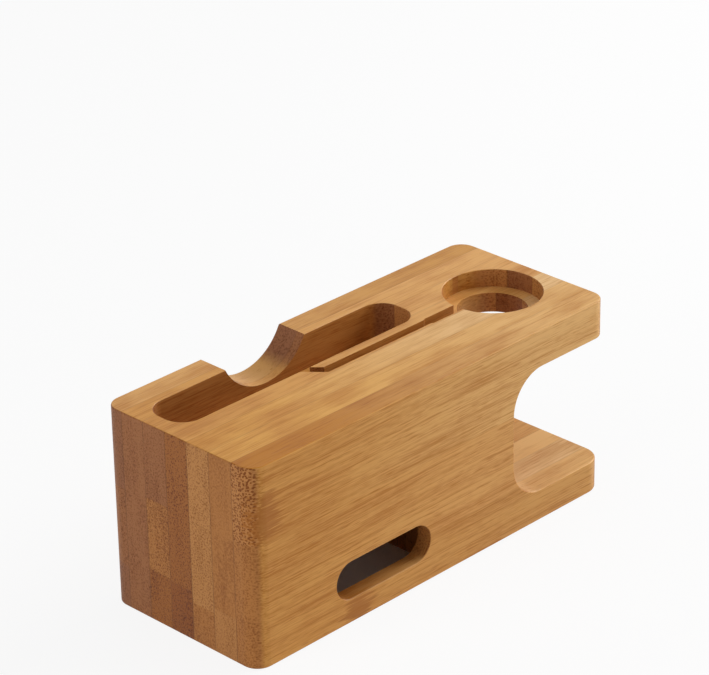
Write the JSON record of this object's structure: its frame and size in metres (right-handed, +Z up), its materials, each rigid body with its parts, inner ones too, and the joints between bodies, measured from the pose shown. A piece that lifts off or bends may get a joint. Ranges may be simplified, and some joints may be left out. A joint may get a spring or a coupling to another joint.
{
  "type": "charging stand",
  "caption": "Laminated bamboo desk stand with a leaning handset slot, an overhanging arm with a round charging-disc recess, a strap gap and a cable hole in the back.",
  "frame": {"origin": "middle of the underside, on the surface that the stand rests on", "axes": "+Z up, +X along the block towards its solid end, -Y towards the front that a handset's screen faces"},
  "size_m": [0.141, 0.0568, 0.0606],
  "materials": {
    "bamboo_honey": "satin clear lacquer",
    "bamboo_pale": "satin clear lacquer",
    "bamboo_brown": "satin clear lacquer"
  },
  "bodies": {
    "root": {"back_layer_bottom_strip": "bamboo_honey", "back_layer_middle_strip": "bamboo_honey", "back_layer_top_strip": "bamboo_honey", "fifth_layer_bottom_strip_arm_end": "bamboo_honey", "fifth_layer_bottom_strip_block_end": "bamboo_honey", "fifth_layer_middle_strip_arm_end": "bamboo_pale", "fifth_layer_middle_strip_block_end": "bamboo_pale", "fifth_layer_top_strip": "bamboo_honey", "front_layer_bottom_strip": "bamboo_honey", "front_layer_middle_strip": "bamboo_honey", "front_layer_top_strip": "bamboo_honey", "middle_layer_bottom_strip_arm_end": "bamboo_brown", "middle_layer_bottom_strip_block_end": "bamboo_brown", "middle_layer_middle_strip_arm_end": "bamboo_brown", "middle_layer_middle_strip_block_end": "bamboo_brown", "middle_layer_top_strip_arm_end": "bamboo_brown", "middle_layer_top_strip_block_end": "bamboo_brown", "second_layer_bottom_strip_arm_end": "bamboo_brown", "second_layer_bottom_strip_block_end": "bamboo_brown", "second_layer_middle_strip_arm_end": "bamboo_brown", "second_layer_middle_strip_block_end": "bamboo_brown", "second_layer_top_strip": "bamboo_brown", "sixth_layer_bottom_strip": "bamboo_brown", "sixth_layer_middle_strip": "bamboo_brown", "sixth_layer_top_strip": "bamboo_brown", "third_layer_bottom_strip_arm_end": "bamboo_pale", "third_layer_bottom_strip_block_end": "bamboo_pale", "third_layer_middle_strip_arm_end": "bamboo_pale", "third_layer_middle_strip_block_end": "bamboo_pale", "third_layer_top_strip": "bamboo_pale"}
  },
  "joints": []
}
